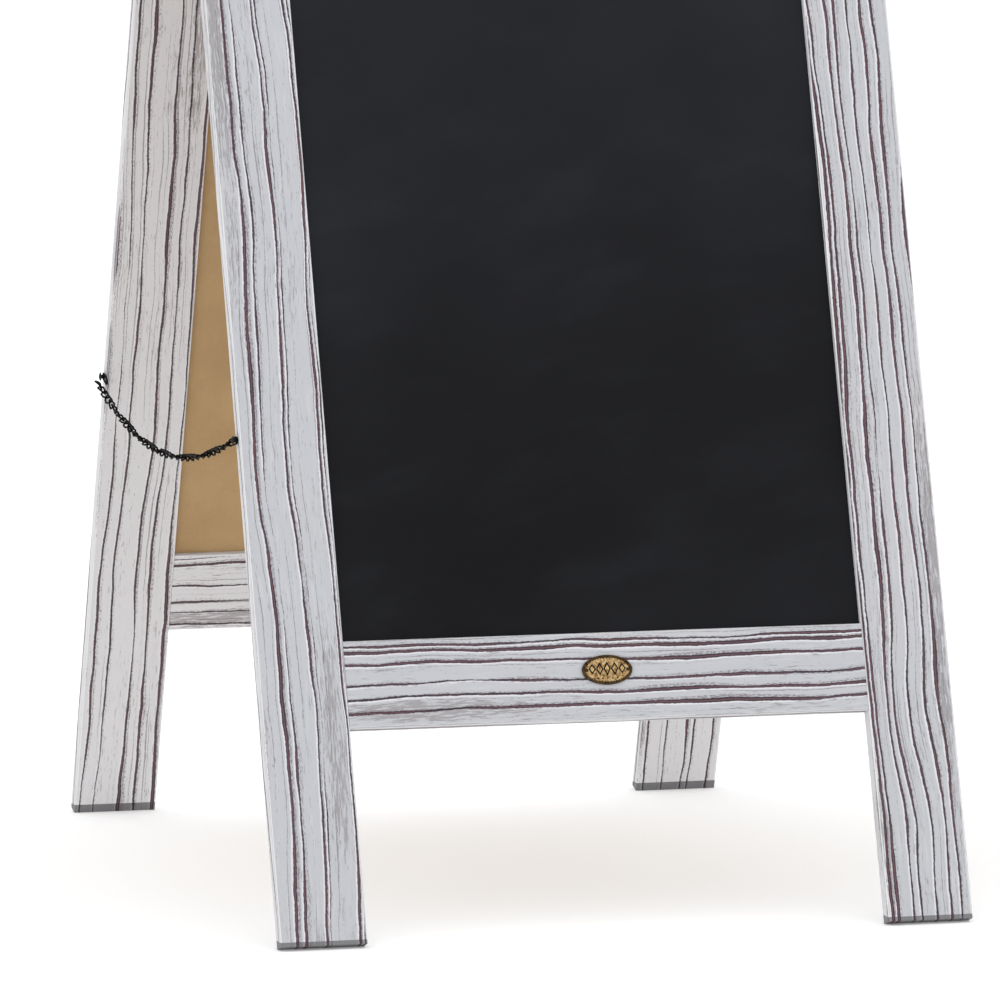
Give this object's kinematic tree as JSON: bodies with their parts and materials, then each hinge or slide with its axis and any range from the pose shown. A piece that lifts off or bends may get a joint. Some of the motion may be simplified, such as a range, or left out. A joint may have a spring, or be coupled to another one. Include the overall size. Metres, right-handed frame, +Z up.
{
  "type": "menu chalkboard easel",
  "caption": "Folding A-frame menu easel: a chalkboard in each whitewashed wooden frame, hinged along the top and held open by a chain on the left flank.",
  "frame": {"origin": "on the floor under the middle of the open easel", "axes": "+Z up, +X across the boards, the front board faces -Y"},
  "size_m": [0.519, 0.6836, 0.9488],
  "materials": {
    "whitewashed_wood": "whitewashed board with dark grain lines, matt",
    "dowel_wood": "plain beech",
    "chalk_surface": "black satin writing coat",
    "hardboard": "plain pressed hardboard",
    "foot_dip": "thin grey dipped coat",
    "hinge_metal": "satin black",
    "pin_steel": "drawn steel",
    "screw_metal": "black",
    "chain_metal": "black, semi-gloss",
    "badge_brass": "antiqued"
  },
  "bodies": {
    "front_frame": {"front_left_stile": "whitewashed_wood", "front_right_stile": "whitewashed_wood", "front_top_rail": "whitewashed_wood", "front_bottom_rail": "whitewashed_wood", "front_board_sheet": "chalk_surface", "front_board_backing": "hardboard", "front_dowels": "dowel_wood", "front_left_foot": "foot_dip", "front_right_foot": "foot_dip", "badge_plate": "badge_brass", "badge_nails": "badge_brass", "left_hinge_front_leaf": "hinge_metal", "left_hinge_pin": "pin_steel", "right_hinge_front_leaf": "hinge_metal", "right_hinge_pin": "pin_steel", "front_hinge_screws": "hinge_metal", "front_chain_screw": "screw_metal"},
    "back_frame": {"back_left_stile": "whitewashed_wood", "back_right_stile": "whitewashed_wood", "back_top_rail": "whitewashed_wood", "back_bottom_rail": "whitewashed_wood", "back_board_sheet": "chalk_surface", "back_board_backing": "hardboard", "back_dowels": "dowel_wood", "back_left_foot": "foot_dip", "back_right_foot": "foot_dip", "left_hinge_back_leaf": "hinge_metal", "right_hinge_back_leaf": "hinge_metal", "back_hinge_screws": "hinge_metal", "back_chain_screw": "screw_metal"},
    "left_chain_front_top": {"left_chain_front_top": "chain_metal"},
    "left_chain_front_middle": {"left_chain_front_middle": "chain_metal"},
    "left_chain_front_low": {"left_chain_front_low": "chain_metal"},
    "left_chain_low_link": {"left_chain_low_link": "chain_metal"},
    "left_chain_back_low": {"left_chain_back_low": "chain_metal"},
    "left_chain_back_middle": {"left_chain_back_middle": "chain_metal"},
    "left_chain_back_top": {"left_chain_back_top": "chain_metal"},
    "left_chain_end_ring": {"left_chain_end_ring": "chain_metal"}
  },
  "joints": [
    {"name": "fold", "type": "hinge", "parent": "front_frame", "child": "back_frame", "pos_m": [0, 0, 0.94627], "axis": [1, 0, 0], "range_deg": [-38.4, 0]},
    {"name": "left_chain_front_top_swing", "type": "hinge", "parent": "front_frame", "child": "left_chain_front_top", "pos_m": [-0.2615, -0.2158, 0.34712], "axis": [1, 0, 0], "range_deg": [-76.05, 0]},
    {"name": "left_chain_front_middle_swing", "type": "hinge", "parent": "left_chain_front_top", "child": "left_chain_front_middle", "pos_m": [-0.2615, -0.14325, 0.32925], "axis": [1, 0, 0], "range_deg": [-5.64, 0]},
    {"name": "left_chain_front_low_swing", "type": "hinge", "parent": "left_chain_front_middle", "child": "left_chain_front_low", "pos_m": [-0.2615, -0.06931, 0.31853], "axis": [1, 0, 0], "range_deg": [-5.35, 0]},
    {"name": "left_chain_low_link_swing", "type": "hinge", "parent": "left_chain_front_low", "child": "left_chain_low_link", "pos_m": [-0.2615, -0.00619, 0.31529], "axis": [1, 0, 0], "range_deg": [0, 65.88]},
    {"name": "left_chain_back_low_swing", "type": "hinge", "parent": "left_chain_low_link", "child": "left_chain_back_low", "pos_m": [-0.2615, 0.00619, 0.31529], "axis": [1, 0, 0], "range_deg": [0, 108.02]},
    {"name": "left_chain_back_middle_swing", "type": "hinge", "parent": "left_chain_back_low", "child": "left_chain_back_middle", "pos_m": [-0.2615, 0.06931, 0.31853], "axis": [1, 0, 0], "range_deg": [-5.35, 0]},
    {"name": "left_chain_back_top_swing", "type": "hinge", "parent": "left_chain_back_middle", "child": "left_chain_back_top", "pos_m": [-0.2615, 0.14325, 0.32925], "axis": [1, 0, 0], "range_deg": [-5.25, 0]},
    {"name": "left_chain_end_ring_swing", "type": "hinge", "parent": "back_frame", "child": "left_chain_end_ring", "pos_m": [-0.2615, 0.2158, 0.34712], "axis": [1, 0, 0], "range_deg": [0, 112.12]}
  ],
  "couplings": [
    {"joint": "left_chain_front_top_swing", "follows": "fold", "ratio": 1.9792},
    {"joint": "left_chain_front_middle_swing", "follows": "fold", "ratio": 0.14565},
    {"joint": "left_chain_front_low_swing", "follows": "fold", "ratio": 0.13805},
    {"joint": "left_chain_low_link_swing", "follows": "fold", "ratio": -1.7142},
    {"joint": "left_chain_back_low_swing", "follows": "fold", "ratio": -2.8116},
    {"joint": "left_chain_back_middle_swing", "follows": "fold", "ratio": 0.13805},
    {"joint": "left_chain_back_top_swing", "follows": "fold", "ratio": 0.13552},
    {"joint": "left_chain_end_ring_swing", "follows": "fold", "ratio": -2.9184}
  ]
}
